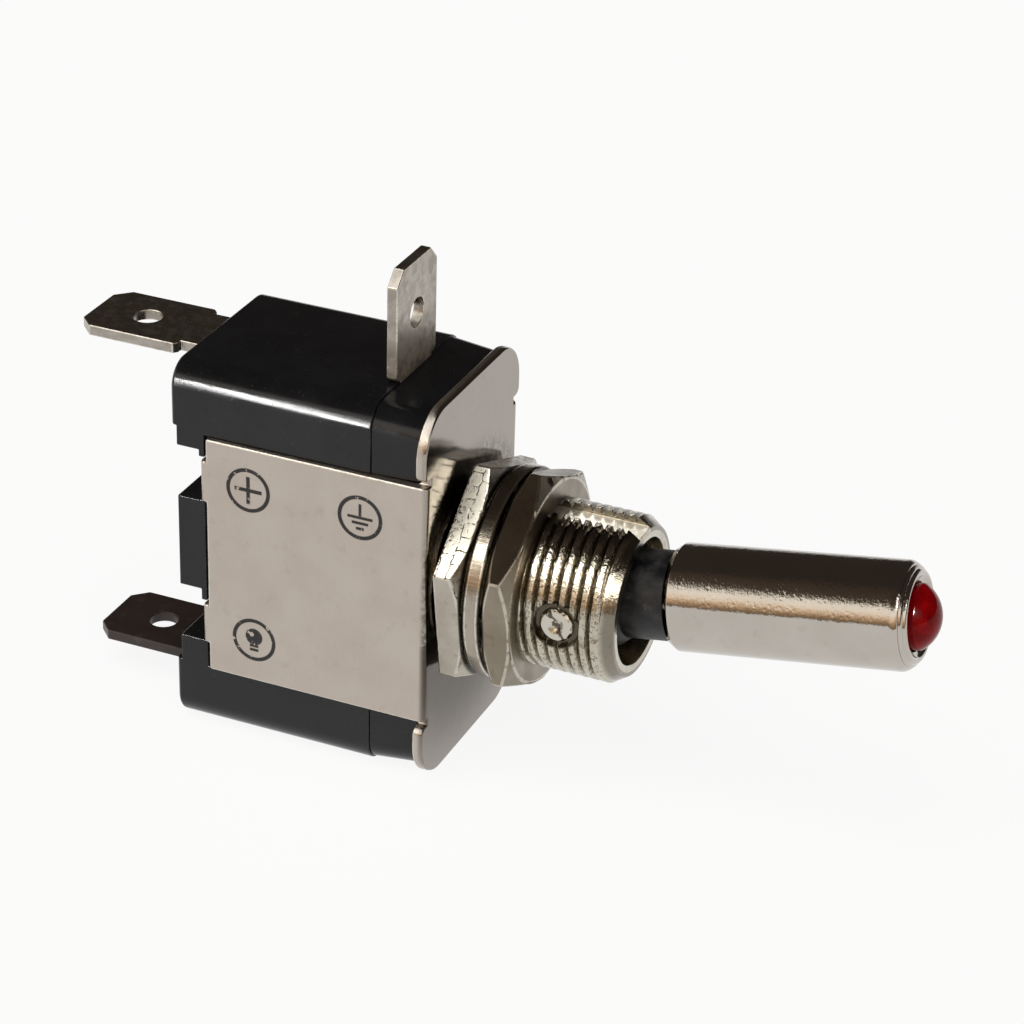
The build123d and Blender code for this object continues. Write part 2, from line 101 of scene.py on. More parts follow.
# A node tree with one way to add a node
class Recipe:
    def __init__(self, tree):
        self.tree = tree
        tree.nodes.clear()

    def node(self, kind, settings=None, inputs=None, output=0):
        made = self.tree.nodes.new(kind)
        settings = dict(settings or {})
        for place, colour in settings.pop("stops", ()):
            ramp = made.color_ramp.elements
            stop = ramp.new(place)
            stop.color = (*colour, 1.0)
        if made.bl_idname == "ShaderNodeValToRGB":
            made.color_ramp.elements.remove(made.color_ramp.elements[0])
            made.color_ramp.elements.remove(made.color_ramp.elements[-1])
        for key, value in settings.items():
            setattr(made, key, value)
        for key, value in (inputs or {}).items():
            self.feed(made.inputs[key], value)
        return Wire(self, made.outputs[output] if made.outputs else None)

    def feed(self, socket, value):
        if isinstance(value, Wire):
            self.tree.links.new(value.socket, socket)
        elif socket.type == "RGBA" and len(value) == 3:
            socket.default_value = (*value, 1.0)
        else:
            socket.default_value = value

    def maths(self, operation, first, second=0.0, clamp=False):
        settings = {"operation": operation, "use_clamp": clamp}
        return self.node("ShaderNodeMath", settings, {0: first, 1: second})

    def least(self, first, second):
        return self.maths("MINIMUM", first, second)

    def most(self, first, second):
        return self.maths("MAXIMUM", first, second)

    def size(self, value):
        return self.maths("ABSOLUTE", value)

    def rise(self, value, low, high):
        limits = {"Value": value, "From Min": low, "From Max": high}
        return self.node("ShaderNodeMapRange", {"interpolation_type": "SMOOTHSTEP"}, limits)

    def blend(self, factor, first, second):
        settings = {"data_type": "RGBA", "blend_type": "MIX"}
        return self.node("ShaderNodeMix", settings, {0: factor, 6: first, 7: second}, 2)

    def place(self):
        return self.node("ShaderNodeTexCoord", output="Object")

    def axes(self, vector):
        split = self.node("ShaderNodeSeparateXYZ", inputs={0: vector}).socket.node
        return [Wire(self, socket) for socket in split.outputs]

    def stretch(self, vector, factors):
        settings = {"operation": "MULTIPLY"}
        return self.node("ShaderNodeVectorMath", settings, {0: vector, 1: factors})

    def noise(self, vector, size, detail=3.0, roughness=0.5):
        inputs = {"Vector": vector, "Scale": 1.0 / size, "Detail": detail, "Roughness": roughness}
        return self.node("ShaderNodeTexNoise", {"noise_dimensions": "3D"}, inputs)

    def cells(self, vector, size, feature="F1"):
        inputs = {"Vector": vector, "Scale": 1.0 / size}
        return self.node("ShaderNodeTexVoronoi", {"feature": feature}, inputs)

    def bump(self, height, strength, distance, normal=None):
        inputs = {"Height": height, "Strength": strength, "Distance": distance}
        if normal:
            inputs["Normal"] = normal
        return self.node("ShaderNodeBump", inputs=inputs)

    def surface(self, inputs):
        shader = self.node("ShaderNodeBsdfPrincipled", inputs=inputs)
        self.node("ShaderNodeOutputMaterial", inputs={"Surface": shader})


def newMaterial(name):
    material = bpy.data.materials.new(name)
    material.use_nodes = True
    return material, Recipe(material.node_tree)


# Hairlines run one way over a surface; the vector is squeezed along them
def hairlines(recipe, place, width, run):
    lines = recipe.noise(recipe.stretch(place, run), width, 2.0, 0.6)
    return recipe.rise(lines, 0.35, 0.7)


# Edges are the faces that a bevel made; wear leaves some stretches of them untouched
def rubbedEdges(recipe, place, size, low, high):
    mark = recipe.node("ShaderNodeAttribute", {"attribute_name": "rubbedEdge"}, output=2)
    return mark * recipe.rise(recipe.noise(place, size, 3.0, 0.6), low, high)


# Plated metal; finish is a function that may add to its layers
def platedMetal(name, look, finish=None):
    material, recipe = newMaterial(name)
    place = recipe.place()
    patches = recipe.rise(recipe.noise(place, look["patchSize"], 4.0), 0.3, 0.7)
    grit = recipe.noise(place, look["gritSize"], 2.0, 0.6)
    lines = hairlines(recipe, place, look["lineWidth"], look["lineRun"])
    edge = rubbedEdges(recipe, place, look["wearSize"], *look["wear"])
    colour = recipe.blend(patches, look["colour"], look["patchColour"])
    stain = recipe.rise(recipe.noise(place, look["stainSize"], 5.0, 0.65), 0.56, 0.72)
    colour = recipe.blend(stain * look["stain"], colour, look["stainColour"])
    colour = recipe.blend(edge * look["edgeLight"], colour, look["edgeColour"])
    rough = look["rough"] + patches * look["roughSwing"] + lines * look["lineRough"]
    rough = rough + (grit - 0.5) * look["gritRough"] - edge * look["edgePolish"]
    height = grit * look["gritDepth"] + lines * look["lineDepth"]
    layers = {"place": place, "colour": colour, "rough": rough, "height": height, "metal": 1.0}
    if finish:
        finish(recipe, layers)
    recipe.surface(
        {
            "Base Color": layers["colour"],
            "Metallic": layers["metal"],
            "Roughness": recipe.most(layers["rough"], 0.03),
            "Normal": recipe.bump(layers["height"], look["bump"], look["bumpDepth"]),
        }
    )
    return material


nickelLook = {
    "colour": (0.44, 0.405, 0.345),
    "patchColour": (0.37, 0.335, 0.28),
    "edgeColour": (0.66, 0.62, 0.55),
    "stainColour": (0.16, 0.12, 0.08),
    "patchSize": 3.0 * mm,
    "gritSize": 0.08 * mm,
    "stainSize": 1.2 * mm,
    "stain": 0.35,
    "lineWidth": 0.12 * mm,
    "lineRun": (1.0, 1.0, 0.04),
    "rough": 0.12,
    "roughSwing": 0.08,
    "lineRough": 0.05,
    "gritRough": 0.06,
    "wearSize": 0.5 * mm,
    "wear": (0.3, 0.5),
    "edgeLight": 0.8,
    "edgePolish": 0.05,
    "gritDepth": 0.5,
    "lineDepth": 0.5,
    "bump": 0.35,
    "bumpDepth": 0.02 * mm,
}


def look(**changes):
    return {**nickelLook, **changes}


# Black mouldings: gloss with a fine grain, hazy patches, dust and rubbed edges
def mouldedPlastic(name, look):
    material, recipe = newMaterial(name)
    place = recipe.place()
    haze = recipe.rise(recipe.noise(place, look["hazeSize"], 4.0, 0.6), 0.35, 0.7)
    grain = recipe.noise(place, look["grainSize"], 3.0, 0.6)
    dust = recipe.rise(recipe.noise(place, look["dustSize"], 2.0, 0.7), 0.66, 0.74)
    edge = rubbedEdges(recipe, place, look["wearSize"], *look["wear"])
    scratch = hairlines(recipe, place, look["lineWidth"], look["lineRun"])
    colour = recipe.blend(haze, look["colour"], look["hazeColour"])
    colour = recipe.blend(dust * look["dust"], colour, look["dustColour"])
    colour = recipe.blend(edge * look["edgeLight"], colour, look["edgeColour"])
    rough = look["rough"] + haze * look["roughSwing"] + dust * 0.2 + scratch * look["lineRough"]
    height = grain * look["grainDepth"] + scratch * look["lineDepth"]
    recipe.surface(
        {
            "Base Color": colour,
            "Roughness": rough,
            "IOR": look["ior"],
            "Normal": recipe.bump(height, look["bump"], look["bumpDepth"]),
        }
    )
    return material


# Copies of solids from the frame, with rounded edges
def cadCopy(nodeName, pieceName, edgeWidth, segments=2, sharpAngle=28.0, soft=True):
    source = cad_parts[nodeName]
    mesh = source.data.copy()
    mesh.name = pieceName
    mesh.materials.clear()
    for slot in range(2):
        mesh.materials.append(None)  # the second slot marks the faces of the bevel
    work = bmesh.new()
    work.from_mesh(mesh)
    bmesh.ops.remove_doubles(work, verts=work.verts, dist=0.0005 * mm)
    bmesh.ops.dissolve_limit(
        work, angle_limit=math.radians(0.4), verts=work.verts, edges=work.edges
    )
    work.to_mesh(mesh)
    work.free()
    for name in ("custom_normal", "sharp_edge", "sharp_face"):
        if name in mesh.attributes:
            mesh.attributes.remove(mesh.attributes[name])
    piece = newPiece(pieceName, mesh)
    bevel = piece.modifiers.new("roundedEdges", "BEVEL")
    bevel.width = edgeWidth
    bevel.segments = segments
    bevel.limit_method = "ANGLE"
    bevel.angle_limit = math.radians(sharpAngle)
    bevel.use_clamp_overlap = False
    bevel.harden_normals = soft
    bevel.material = 1
    settle(piece)
    rubbed = piece.data.attributes.new("rubbedEdge", "FLOAT", "FACE")
    for polygon in piece.data.polygons:
        rubbed.data[polygon.index].value = polygon.material_index
        polygon.material_index = 0
    return piece


# Modifiers are worked into the mesh, which is then shaded smooth up to sharp edges
def settle(piece, sharpAngle=40.0):
    for polygon in piece.data.polygons:
        polygon.use_smooth = True
    if piece.modifiers:
        graph = bpy.context.evaluated_depsgraph_get()
        finished = bpy.data.meshes.new_from_object(piece.evaluated_get(graph))
        piece.modifiers.clear()
        old = piece.data
        piece.data = finished
        finished.name = piece.name
        bpy.data.meshes.remove(old)
    else:
        piece.data.set_sharp_from_angle(angle=math.radians(sharpAngle))
    return piece


def mount(piece, body, slot, material, *nodes):
    piece.data.materials.clear()
    piece.data.materials.append(material)
    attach(piece, body)
    if nodes:
        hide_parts(*nodes)
    return piece


def newPiece(name, mesh):
    piece = bpy.data.objects.new(name, mesh)
    bpy.context.scene.collection.objects.link(piece)
    return piece


# A closed outline of distance and radius, turned about an axis
def lathe(name, outline, segments, axis=Vector((1, 0, 0))):
    work = bmesh.new()
    sideways = Vector((0, 1, 0))
    upward = axis.cross(sideways)
    rings = []
    for distance, radius in outline:
        ring = []
        for step in range(segments):
            angle = 2 * math.pi * step / segments
            spoke = sideways * math.cos(angle) + upward * math.sin(angle)
            ring.append(work.verts.new(axis * distance + spoke * radius))
        rings.append(ring)
    for index, ring in enumerate(rings):
        following = rings[(index + 1) % len(rings)]
        for step in range(segments):
            after = (step + 1) % segments
            work.faces.new((ring[step], ring[after], following[after], following[step]))
    bmesh.ops.recalc_face_normals(work, faces=work.faces)
    mesh = bpy.data.meshes.new(name)
    work.to_mesh(mesh)
    work.free()
    return newPiece(name, mesh)


def arc(centre, radius, start, end, steps):
    points = []
    for step in range(steps + 1):
        angle = math.radians(start + (end - start) * step / steps)
        points.append((centre[0] + radius * math.cos(angle), centre[1] + radius * math.sin(angle)))
    return points


# Threaded bushing
bushingSize = {
    "pitch": 0.79 * mm,
    "crest": 5.95 * mm,
    "depth": 0.42 * mm,
    "bore": 4.5 * mm,
    "shank": 5.3 * mm,
    "coveredRadius": 5.58 * mm,
    "mouthRound": 0.12 * mm,
    "mouthChamfer": 0.58 * mm,
    "chamferRun": 0.95 * mm,
    "keyHalfWidth": 0.95 * mm,
    "keyFloor": 5.35 * mm,
    "craterRadius": 1.62 * mm,
    "craterFloor": 5.4 * mm,
    "segments": 160,
    "ringsPerTurn": 12,
    "coveredFront": -2.9 * mm,
    "coveredBack": -8.2 * mm,
}


# The groove is a rule of place: how far a point lies along its turn sets its depth
def threadTree():
    tree = bpy.data.node_groups.new("helicalThread", "GeometryNodeTree")
    face = tree.interface
    face.new_socket("Geometry", in_out="INPUT", socket_type="NodeSocketGeometry")
    for label in ("Pitch", "Depth", "Crest", "Front", "Fade"):
        face.new_socket(label, in_out="INPUT", socket_type="NodeSocketFloat")
    face.new_socket("Finish", in_out="INPUT", socket_type="NodeSocketMaterial")
    face.new_socket("Geometry", in_out="OUTPUT", socket_type="NodeSocketGeometry")
    recipe = Recipe(tree)
    entry = recipe.node("NodeGroupInput").socket.node
    given = {socket.name: Wire(recipe, socket) for socket in entry.outputs}
    position = recipe.node("GeometryNodeInputPosition")
    along, across, up = recipe.axes(position)
    radius = recipe.maths("SQRT", across * across + up * up)
    turn = recipe.maths("ARCTAN2", up, across) / (2 * math.pi)
    phase = recipe.maths("FRACT", along / given["Pitch"] - turn)
    flank = recipe.size(phase - 0.5) * 2.0
    groove = 1.0 - recipe.rise(flank, 0.02, 0.56)
    ending = recipe.rise(given["Front"] - along, 0.0, given["Fade"])
    onCrest = radius > given["Crest"] - 0.02 * mm
    sink = groove * ending * onCrest * given["Depth"]
    spoke = recipe.node("ShaderNodeCombineXYZ", inputs={"Y": across / radius, "Z": up / radius})
    shift = recipe.node(
        "ShaderNodeVectorMath", {"operation": "SCALE"}, {0: spoke, "Scale": -sink}
    )
    moved = recipe.node(
        "GeometryNodeSetPosition", inputs={"Geometry": given["Geometry"], "Offset": shift}
    )
    realized = recipe.node("GeometryNodeRealizeInstances", inputs={"Geometry": moved})
    finished = recipe.node(
        "GeometryNodeSetMaterial", inputs={"Geometry": realized, "Material": given["Finish"]}
    )
    recipe.node("NodeGroupOutput", inputs={"Geometry": finished})
    return tree


def threadOutline(size, front, back):
    crest = size["crest"]
    step = size["pitch"] / size["ringsPerTurn"]
    chamferBack = front - size["chamferRun"]
    staked = Vector(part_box("bushing")[0]).x
    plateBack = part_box("bracket")[1].x - 0.8 * mm
    outline = [(staked, size["bore"]), (staked, size["crest"] + 0.2 * mm)]
    outline += [(plateBack, size["crest"] + 0.2 * mm), (plateBack, size["shank"])]
    outline += [(back, size["shank"])]
    steps = int((size["coveredBack"] - back) / step)
    outline += [(back + index * step, crest) for index in range(1, steps + 1)]
    outline += [(size["coveredBack"], size["coveredRadius"])]
    outline += [(size["coveredFront"], size["coveredRadius"])]
    steps = int((chamferBack - size["coveredFront"]) / step)
    outline += [(chamferBack - index * step, crest) for index in range(steps, 0, -1)]
    rim = size["mouthRound"]
    outline += arc((chamferBack, crest - rim), rim, 90, 60, 2)
    outline += arc((front - rim, crest - size["mouthChamfer"] - rim), rim, 60, 0, 3)
    outline += arc((front - rim, size["bore"] + rim), rim, 0, -90, 3)
    return outline


def cutter(name, sizes, centre):
    work = bmesh.new()
    bmesh.ops.create_cube(work, size=1.0, matrix=Matrix.Diagonal((*sizes, 1.0)))
    bmesh.ops.translate(work, vec=centre, verts=work.verts)
    mesh = bpy.data.meshes.new(name)
    work.to_mesh(mesh)
    work.free()
    return newPiece(name, mesh)


def roundCutter(name, radius, near, far):
    work = bmesh.new()
    turned = Matrix.Rotation(math.radians(90), 4, "X")
    bmesh.ops.create_cone(
        work, cap_ends=True, segments=48, radius1=radius, radius2=radius, depth=abs(far - near)
    )
    bmesh.ops.transform(work, matrix=turned, verts=work.verts)
    bmesh.ops.translate(work, vec=(0, (near + far) / 2, 0), verts=work.verts)
    mesh = bpy.data.meshes.new(name)
    work.to_mesh(mesh)
    work.free()
    return newPiece(name, mesh)


def makeBushing(material):
    size = bushingSize
    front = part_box("bushing")[1].x
    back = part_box("bracket")[1].x
    piece = lathe("threadedBushing", threadOutline(size, front, back), size["segments"])
    tree = threadTree()
    groove = piece.modifiers.new("thread", "NODES")
    groove.node_group = tree
    wanted = {
        "Pitch": size["pitch"],
        "Depth": size["depth"],
        "Crest": size["crest"],
        "Front": front - size["chamferRun"] * 0.5,
        "Fade": size["pitch"],
        "Finish": material,
    }
    for item in tree.interface.items_tree:
        if item.in_out == "INPUT" and item.name in wanted:
            groove[item.identifier] = wanted[item.name]
    settle(piece)
    reach = 20 * mm
    keyTop = size["keyFloor"] + reach / 2
    cutters = [
        cutter("keywayCut", (reach, 2 * size["keyHalfWidth"], reach), (back + reach / 2, 0, keyTop))
    ]
    for side in (-1, 1):
        cutters.append(
            roundCutter(
                "craterCut", size["craterRadius"], side * size["craterFloor"], side * reach
            )
        )
    for tool in cutters:
        cut = piece.modifiers.new("cut", "BOOLEAN")
        cut.operation = "DIFFERENCE"
        cut.solver = "EXACT"
        cut.object = tool
    settle(piece)
    for tool in cutters:
        bpy.data.objects.remove(tool)
    piece.data.set_sharp_from_angle(angle=math.radians(48))
    return piece


# Sleeve of the lever: a tapered skirt, and a grooved cone that ends in a lip rolled in to the lamp
sleeveSize = {
    "start": 6.85 * mm,
    "end": 24.1 * mm,
    "radius": 3.74 * mm,
    "bore": 3.14 * mm,
    "mouth": 2.30 * mm,
    "lipDepth": 0.8 * mm,
    "skirtTaper": 0.35 * mm,
    "skirtLength": 0.5 * mm,
    "coneStart": 1.25 * mm,
    "coneTurn": 48.0,
    "coneLength": 0.60 * mm,
    "bend": 0.75 * mm,
    "lip": 0.30 * mm,
    # place along the cone, height over it
    "groove": ((0.05, 0.0), (0.22, -0.07 * mm), (0.40, 0.03 * mm), (0.58, 0.02 * mm), (0.76, -0.05 * mm)),
    "segments": 160,
}


def makeSleeve():
    size = sleeveSize
    start, end, radius = size["start"], size["end"], size["radius"]
    skirt, bend, lip = size["skirtLength"], size["bend"], size["lip"]
    outline = [(end - size["lipDepth"], size["mouth"]), (end - size["lipDepth"], size["bore"])]
    outline += [(start, size["bore"])]
    outline += arc((start + 0.1 * mm, radius - size["skirtTaper"]), 0.1 * mm, 180, 120, 3)
    outline += arc((start + skirt, radius - 0.1 * mm), 0.1 * mm, 120, 90, 3)
    outline += arc((end - size["coneStart"], radius - bend), bend, 90, size["coneTurn"], 8)
    across, out = math.cos(math.radians(size["coneTurn"])), math.sin(math.radians(size["coneTurn"]))
    along, height = outline[-1]
    for share, rise in size["groove"]:
        reach = share * size["coneLength"]
        outline.append((along + out * reach + across * rise, height - across * reach + out * rise))
    along, height = along + out * size["coneLength"], height - across * size["coneLength"]
    outline += arc((along - across * lip, height - out * lip), lip, size["coneTurn"], -60, 12)
    outline += [(end - 0.44 * mm, size["mouth"] + 0.22 * mm)]
    outline += [(end - 0.52 * mm, size["mouth"] + 0.08 * mm)]
    return settle(lathe("sleeveTube", outline, size["segments"], leverAxis))


# Signs printed in black on the bracket's near flange, in its own X and Z
markLook = {
    "ink": (0.006, 0.006, 0.007),
    "ringRadius": 1.54 * mm,
    "line": 0.145 * mm,
    "thin": 0.11 * mm,
    "soft": 0.035 * mm,
    "plus": (-22.26 * mm, 5.98 * mm),
    "earth": (-13.75 * mm, 5.90 * mm),
    "lamp": (-21.95 * mm, -5.82 * mm),
    "wearSize": 0.45 * mm,
}


def within(recipe, distance, limit):
    return 1.0 - recipe.rise(distance, limit - markLook["soft"], limit + markLook["soft"])


def inkBar(recipe, along, up, centre, halfLength, halfWidth):
    sideways = within(recipe, recipe.size(along - centre[0]), halfLength)
    return sideways * within(recipe, recipe.size(up - centre[1]), halfWidth)


def inkDistance(recipe, along, up, centre):
    sideways = along - centre[0]
    upward = up - centre[1]
    return recipe.maths("SQRT", sideways * sideways + upward * upward)


def inkRing(recipe, along, up, centre):
    away = inkDistance(recipe, along, up, centre)
    return within(recipe, recipe.size(away - markLook["ringRadius"]), markLook["line"])


def plusSign(recipe, along, up, centre):
    arm = 1.05 * mm
    level = inkBar(recipe, along, up, centre, arm, markLook["line"])
    upright = inkBar(recipe, along, up, centre, markLook["line"], arm)
    return recipe.most(level, upright)


def earthSign(recipe, along, up, centre):
    x, z = centre
    sign = inkBar(recipe, along, up, (x, z + 0.55 * mm), markLook["thin"], 0.5 * mm)
    for drop, reach in ((0.0, 0.95 * mm), (0.42 * mm, 0.62 * mm), (0.84 * mm, 0.30 * mm)):
        step = inkBar(recipe, along, up, (x, z - drop), reach, markLook["thin"])
        sign = recipe.most(sign, step)
    return sign


def lampSign(recipe, along, up, centre):
    x, z = centre
    bulb = within(recipe, inkDistance(recipe, along, up, (x, z + 0.25 * mm)), 0.66 * mm)
    glint = within(recipe, inkDistance(recipe, along, up, (x - 0.18 * mm, z + 0.42 * mm)), 0.17 * mm)
    sign = bulb * (1.0 - glint)
    for drop, reach in ((0.48 * mm, 0.34 * mm), (0.80 * mm, 0.34 * mm)):
        step = inkBar(recipe, along, up, (x, z - drop), reach, markLook["thin"])
        sign = recipe.most(sign, step)
    return sign


def printedFlange(recipe, layers):
    along, across, up = recipe.axes(layers["place"])
    flange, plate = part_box("bracket")
    nearFace = across < -7.5 * mm
    signs = None
    for label, draw in (("plus", plusSign), ("earth", earthSign), ("lamp", lampSign)):
        centre = markLook[label]
        sign = recipe.most(draw(recipe, along, up, centre), inkRing(recipe, along, up, centre))
        signs = recipe.most(signs, sign) if signs else sign
    wear = recipe.noise(layers["place"], markLook["wearSize"], 5.0, 0.65)
    pinholes = recipe.noise(layers["place"], 0.12 * mm, 2.0, 0.6)
    kept = recipe.rise(wear, 0.35, 0.40) * recipe.rise(pinholes, 0.24, 0.32)
    ink = signs * nearFace * kept
    polished = recipe.rise(along, plate.x - 0.5 * mm, plate.x - 0.05 * mm)
    waves = recipe.noise(layers["place"], 2.5 * mm, 2.0)
    specks = recipe.rise(recipe.noise(layers["place"], 0.3 * mm, 3.0, 0.7), 0.60, 0.68)
    radius = recipe.maths("SQRT", across * across + up * up)
    # Dirt and painted shade darken a ring round the nut on the polished front
    nutShadeRing = 1.0 - recipe.rise(radius + (wear - 0.5) * 5.0 * mm, 8.0 * mm, 9.8 * mm)
    dull = polished * (0.80 + specks * 0.20)
    layers["colour"] = recipe.blend(dull, layers["colour"], (0.265, 0.235, 0.205))
    grime = polished * nutShadeRing * recipe.rise(wear, 0.40, 0.60) * 0.75
    layers["colour"] = recipe.blend(grime, layers["colour"], (0.05, 0.045, 0.032))
    # Painted shade on the polished front below the nuts
    paintedShadeBelow = polished * (1.0 - recipe.rise(radius, 9.0 * mm, 17.0 * mm)) * (up < -3.0 * mm)
    layers["colour"] = recipe.blend(paintedShadeBelow * 0.9, layers["colour"], (0.05, 0.038, 0.028))
    layers["colour"] = recipe.blend(ink, layers["colour"], markLook["ink"])
    layers["metal"] = 1.0 - ink
    layers["rough"] = layers["rough"] * (1.0 - polished * 0.68) + ink * 0.2
    layers["height"] = layers["height"] * (1.0 - polished * 0.85) + waves * polished * 1.5


# Painted shade lies in the seams between the washer and the nuts, broken into patches
seamShadeLook = {"reach": (0.15 * mm, 0.30 * mm), "patch": 0.5 * mm, "colour": (0.02, 0.016, 0.01)}


def seamShade(recipe, layers):
    along, across, up = recipe.axes(layers["place"])
    back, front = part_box("dress_washer")
    away = recipe.least(recipe.size(along - back.x), recipe.size(along - front.x))
    seam = 1.0 - recipe.rise(away, *seamShadeLook["reach"])
    facing, left, above = recipe.axes(recipe.node("ShaderNodeNewGeometry", output=1))
    seam = seam * (1.0 - recipe.rise(recipe.size(facing), 0.86, 0.96))
    patches = recipe.rise(recipe.noise(layers["place"], seamShadeLook["patch"], 3.0), 0.05, 0.35)
    layers["colour"] = recipe.blend(seam * patches, layers["colour"], seamShadeLook["colour"])


# The inner nut's flats are cracked into squares by the press; the upper flat also carries painted light
crackLook = {
    "facetTurn": math.radians(39.5),
    "brick": (1.05, 0.8),
    "width": 0.05,
    "stray": 0.45,
    "colour": (0.05, 0.04, 0.025),
}


def pressedFlatsPaintedLight(recipe, layers):
    along, across, up = recipe.axes(layers["place"])
    turn = crackLook["facetTurn"]
    upward = across * math.cos(turn) + up * math.sin(turn)
    stray = (recipe.noise(layers["place"], 0.7 * mm, 3.0) - 0.5) * crackLook["stray"]
    squares = recipe.node(
        "ShaderNodeCombineXYZ", inputs={"X": upward / mm + stray, "Y": along / mm + stray}
    )
    wide, high = crackLook["brick"]
    sizes = {"Scale": 1.0, "Brick Width": wide, "Row Height": high}
    sizes.update({"Vector": squares, "Mortar Size": crackLook["width"], "Mortar Smooth": 0.4})
    cracks = recipe.node("ShaderNodeTexBrick", {"offset": 0.4}, sizes, "Fac")
    broken = recipe.rise(recipe.noise(layers["place"], 0.6 * mm, 2.0), 0.40, 0.52)
    outward = up * math.cos(turn) - across * math.sin(turn)
    onFacet = recipe.rise(outward, 7.30 * mm, 7.36 * mm)
    cracks = cracks * broken * onFacet
    dents = recipe.noise(layers["place"], 0.35 * mm, 4.0, 0.6)
    layers["colour"] = recipe.blend(cracks, layers["colour"], crackLook["colour"])
    # Painted light: the upper flat is coloured bright cream between the cracks
    layers["colour"] = recipe.blend(onFacet * (1.0 - cracks) * 0.8, layers["colour"], (0.70, 0.66, 0.55))
    layers["height"] = layers["height"] + dents * (0.8 + onFacet * 1.6) - cracks * 2.0
    layers["rough"] = layers["rough"] + 0.06 + recipe.rise(dents, 0.4, 0.6) * 0.14
    seamShade(recipe, layers)


# The keyway's floor is milled and dull and coloured darker towards the nut; painted shade darkens the
# thread's roots, its top teeth and the pin's crater
def threadFinish(recipe, layers):
    along, across, up = recipe.axes(layers["place"])
    radius = recipe.maths("SQRT", across * across + up * up)
    inKeyway = (recipe.size(across) < bushingSize["keyHalfWidth"] + 0.02 * mm) * (up > 5.0 * mm)
    onFloor = inKeyway * (1.0 - recipe.rise(up, 5.36 * mm, 5.40 * mm))
    smudge = recipe.rise(recipe.noise(layers["place"], 0.4 * mm, 4.0, 0.65), 0.50, 0.62)
    # Painted shade in the thread's roots, on its top teeth and round the pin's crater
    root = (1.0 - recipe.rise(radius, 5.56 * mm, 5.80 * mm)) * (radius > 5.0 * mm)
    teeth = recipe.rise(up, 5.1 * mm, 5.7 * mm) * (1.0 - onFloor)
    fromPin = recipe.maths("SQRT", along * along + up * up)
    crater = (1.0 - recipe.rise(fromPin, 1.64 * mm, 1.85 * mm)) * recipe.rise(radius, 5.0 * mm, 5.3 * mm)
    paintedShade = recipe.most(recipe.most(root * (1.0 - onFloor) * 0.6, teeth * 0.75), crater * 0.9)
    # The keyway floor is coloured darker towards the nut
    floorDarkNearNut = 1.0 - recipe.rise(along + smudge * 0.5 * mm, -1.4 * mm, -0.6 * mm)
    layers["colour"] = recipe.blend(paintedShade, layers["colour"], (0.045, 0.035, 0.022))
    milled = recipe.blend(smudge * 0.5, (0.90, 0.85, 0.72), (0.50, 0.44, 0.32))
    milled = recipe.blend(floorDarkNearNut * 0.85, milled, (0.05, 0.04, 0.028))
    layers["colour"] = recipe.blend(onFloor, layers["colour"], milled)
    layers["metal"] = 1.0 - onFloor * 0.5
    layers["rough"] = layers["rough"] + onFloor * 0.35
    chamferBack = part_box("bushing")[1].x - bushingSize["chamferRun"]
    smooth = recipe.rise(along, chamferBack - 0.1 * mm, chamferBack + 0.1 * mm)
    worked = 1.0 - recipe.most(onFloor, smooth * 0.8)
    nicks = recipe.noise(layers["place"], 0.25 * mm, 3.0, 0.6)
    flecks = recipe.rise(recipe.noise(layers["place"], 0.22 * mm, 3.0, 0.7), 0.54, 0.62)
    layers["colour"] = recipe.blend(flecks * worked * 0.8, layers["colour"], (0.09, 0.07, 0.04))
    layers["height"] = layers["height"] + nicks * worked * 2.2


# The pin's end is knocked flat in lumps, with a painted shade line along a fold across it
def knockedEnd(recipe, layers):
    lumps = recipe.noise(layers["place"], 0.7 * mm, 2.0, 0.4)
    along, across, up = recipe.axes(layers["place"])
    wobble = (recipe.noise(layers["place"], 0.5 * mm, 2.0) - 0.5) * 1.2 * mm
    fromFold = recipe.size(along * 0.88 + up * 0.47 + wobble)
    foldShade = 1.0 - recipe.rise(fromFold, 0.10 * mm, 0.26 * mm)
    layers["height"] = layers["height"] + lumps * 24.0
    layers["colour"] = recipe.blend(foldShade * 0.9, (0.54, 0.51, 0.44), (0.05, 0.04, 0.028))


# Terminals darken towards their root and along scratches
def tarnishedBlade(recipe, layers):
    along, across, up = recipe.axes(layers["place"])
    low = 1.0 - recipe.rise(up, 14.2 * mm, 19.0 * mm)
    upright = low * (up > 13.8 * mm)
    grime = recipe.rise(recipe.noise(layers["place"], 0.9 * mm, 5.0, 0.7), 0.40, 0.62)
    layers["colour"] = recipe.blend(
        recipe.most(upright * (0.45 + grime * 0.5), grime * 0.22), layers["colour"], (0.10, 0.088, 0.072)
    )
    layers["rough"] = layers["rough"] + grime * 0.15 + upright * 0.25
    layers["metal"] = 1.0 - upright * 0.65


# The load blade carries a dull brown oxide
def oxidised(recipe, layers):
    layers["metal"] = 0.25
    layers["height"] = layers["height"] + recipe.noise(layers["place"], 0.4 * mm, 3.0) * 0.8


